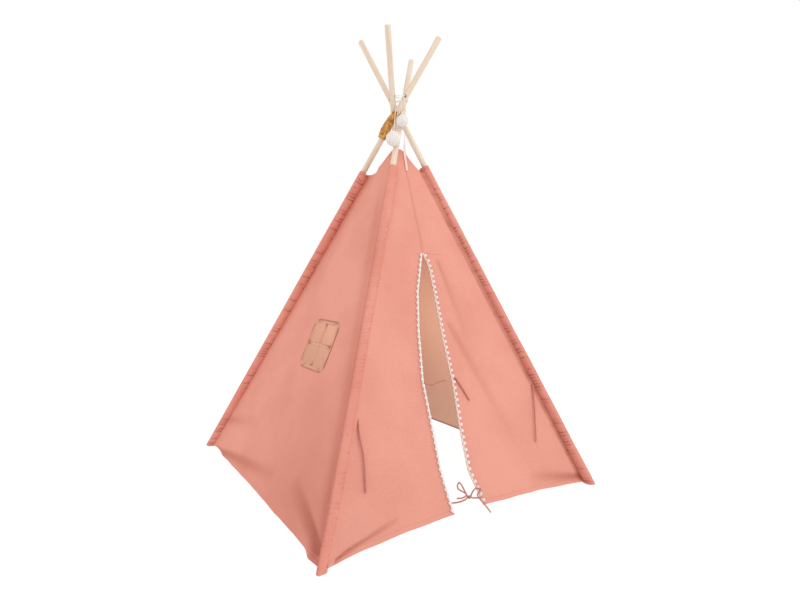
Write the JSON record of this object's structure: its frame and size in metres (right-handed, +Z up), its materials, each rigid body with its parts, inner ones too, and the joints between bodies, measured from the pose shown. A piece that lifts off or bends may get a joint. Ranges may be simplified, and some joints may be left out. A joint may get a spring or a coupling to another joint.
{
  "type": "kids teepee",
  "caption": "Kids' play teepee: pink cotton cover on crossed pine poles, with a bobble-edged door slit, a small window, ties and pompoms at the crown.",
  "frame": {"origin": "centre of the four feet on the floor", "axes": "+Z up, -Y out through the door, +X to the right of somebody who faces the door"},
  "size_m": [1.261, 1.2605, 1.8553],
  "materials": {
    "pine": "sanded, unvarnished pine",
    "steel": "plain drawn tube",
    "cotton": "matt woven cotton canvas, terracotta pink",
    "tie": "folded and sewn cotton strings",
    "white": "soft white yarn",
    "mustard": "mustard woven cloth",
    "ribbon": "pale pink ribbon"
  },
  "bodies": {
    "crown": {"crown_cord": "white", "crown_knot": "white", "ribbon": "ribbon"},
    "frame_front_left": {"pole_front_left_lower": "pine", "pole_front_left_upper": "pine", "ferrule_front_left": "steel", "sleeve_front_left": "cotton", "tie_back_left": "tie"},
    "frame_front_right": {"pole_front_right_lower": "pine", "pole_front_right_upper": "pine", "ferrule_front_right": "steel", "sleeve_front_right": "cotton", "tie_back_right": "tie"},
    "frame_back_right": {"pole_back_right_lower": "pine", "pole_back_right_upper": "pine", "ferrule_back_right": "steel", "sleeve_back_right": "cotton"},
    "frame_back_left": {"pole_back_left_lower": "pine", "pole_back_left_upper": "pine", "ferrule_back_left": "steel", "sleeve_back_left": "cotton", "wrap": "mustard"},
    "cover_front": {"panel_front_left": "cotton", "panel_front_right": "cotton"},
    "cover_left": {"panel_left": "cotton", "window_binding": "cotton"},
    "cover_back": {"panel_back": "cotton"},
    "cover_right": {"panel_right": "cotton"},
    "flap_left": {"door_flap_left": "cotton", "lace_left": "white", "bottom_tie_left": "tie", "mid_tie_left": "tie"},
    "flap_right": {"door_flap_right": "cotton", "lace_right": "white", "bottom_tie_right": "tie", "bow_knot": "tie", "mid_tie_right": "tie"},
    "pompom_high": {"pompom_upper": "white", "pompom_cord_upper": "white"},
    "pompom_low": {"pompom_lower": "white", "pompom_cord_lower": "white"}
  },
  "joints": [
    {"name": "fold_front_left", "type": "hinge", "parent": "crown", "child": "frame_front_left", "pos_m": [0.0388, 0.01153, 1.58728], "axis": [-0.6915, 0.7224, 0], "range_deg": [-16, 0]},
    {"name": "fold_front_right", "type": "hinge", "parent": "crown", "child": "frame_front_right", "pos_m": [-0.01153, 0.0388, 1.58728], "axis": [-0.7224, -0.6915, 0], "range_deg": [-16, 0]},
    {"name": "fold_back_right", "type": "hinge", "parent": "crown", "child": "frame_back_right", "pos_m": [-0.0388, -0.01153, 1.58728], "axis": [0.6915, -0.7224, 0], "range_deg": [-16, 0]},
    {"name": "fold_back_left", "type": "hinge", "parent": "crown", "child": "frame_back_left", "pos_m": [0.01153, -0.0388, 1.58728], "axis": [0.7224, 0.6915, 0], "range_deg": [-16, 0]},
    {"name": "gather_front", "type": "hinge", "parent": "crown", "child": "cover_front", "pos_m": [0, 0.02113, 1.558], "axis": [-1, 0, 0], "range_deg": [-12.1, 0], "deforming": ["panel_front_left", "panel_front_right", "door_flap_left", "door_flap_right", "lace_left", "lace_right", "bottom_tie_left", "bottom_tie_right", "bow_knot", "mid_tie_left", "mid_tie_right"]},
    {"name": "gather_left", "type": "hinge", "parent": "crown", "child": "cover_left", "pos_m": [0.02113, 0, 1.558], "axis": [0, 1, 0], "range_deg": [-12.1, 0], "deforming": ["panel_left", "window_binding"]},
    {"name": "gather_back", "type": "hinge", "parent": "crown", "child": "cover_back", "pos_m": [0, -0.02113, 1.558], "axis": [1, 0, 0], "range_deg": [-12.1, 0], "deforming": ["panel_back"]},
    {"name": "gather_right", "type": "hinge", "parent": "crown", "child": "cover_right", "pos_m": [-0.02113, 0, 1.558], "axis": [0, -1, 0], "range_deg": [-12.1, 0], "deforming": ["panel_right"]},
    {"name": "open_left", "type": "hinge", "parent": "cover_front", "child": "flap_left", "pos_m": [-0.03, -0.23561, 0.914], "axis": [-0.4082, -0.3381, -0.848], "range_deg": [0, 120]},
    {"name": "open_right", "type": "hinge", "parent": "cover_front", "child": "flap_right", "pos_m": [0.03, -0.23561, 0.914], "axis": [-0.2916, 0.3542, 0.8885], "range_deg": [0, 120]},
    {"name": "swing_high", "type": "hinge", "parent": "crown", "child": "pompom_high", "pos_m": [-0.01356, -0.0379, 1.58728], "axis": [-0.6915, 0.7224, 0], "range_deg": [0, 50]},
    {"name": "swing_low", "type": "hinge", "parent": "crown", "child": "pompom_low", "pos_m": [-0.026, -0.02489, 1.58728], "axis": [-0.6915, 0.7224, 0], "range_deg": [0, 50]}
  ],
  "couplings": [
    {"joint": "fold_front_right", "follows": "fold_front_left", "ratio": 1},
    {"joint": "fold_back_right", "follows": "fold_front_left", "ratio": 1},
    {"joint": "fold_back_left", "follows": "fold_front_left", "ratio": 1},
    {"joint": "gather_front", "follows": "fold_front_left", "ratio": 0.756},
    {"joint": "gather_left", "follows": "fold_front_left", "ratio": 0.756},
    {"joint": "gather_back", "follows": "fold_front_left", "ratio": 0.756},
    {"joint": "gather_right", "follows": "fold_front_left", "ratio": 0.756}
  ]
}
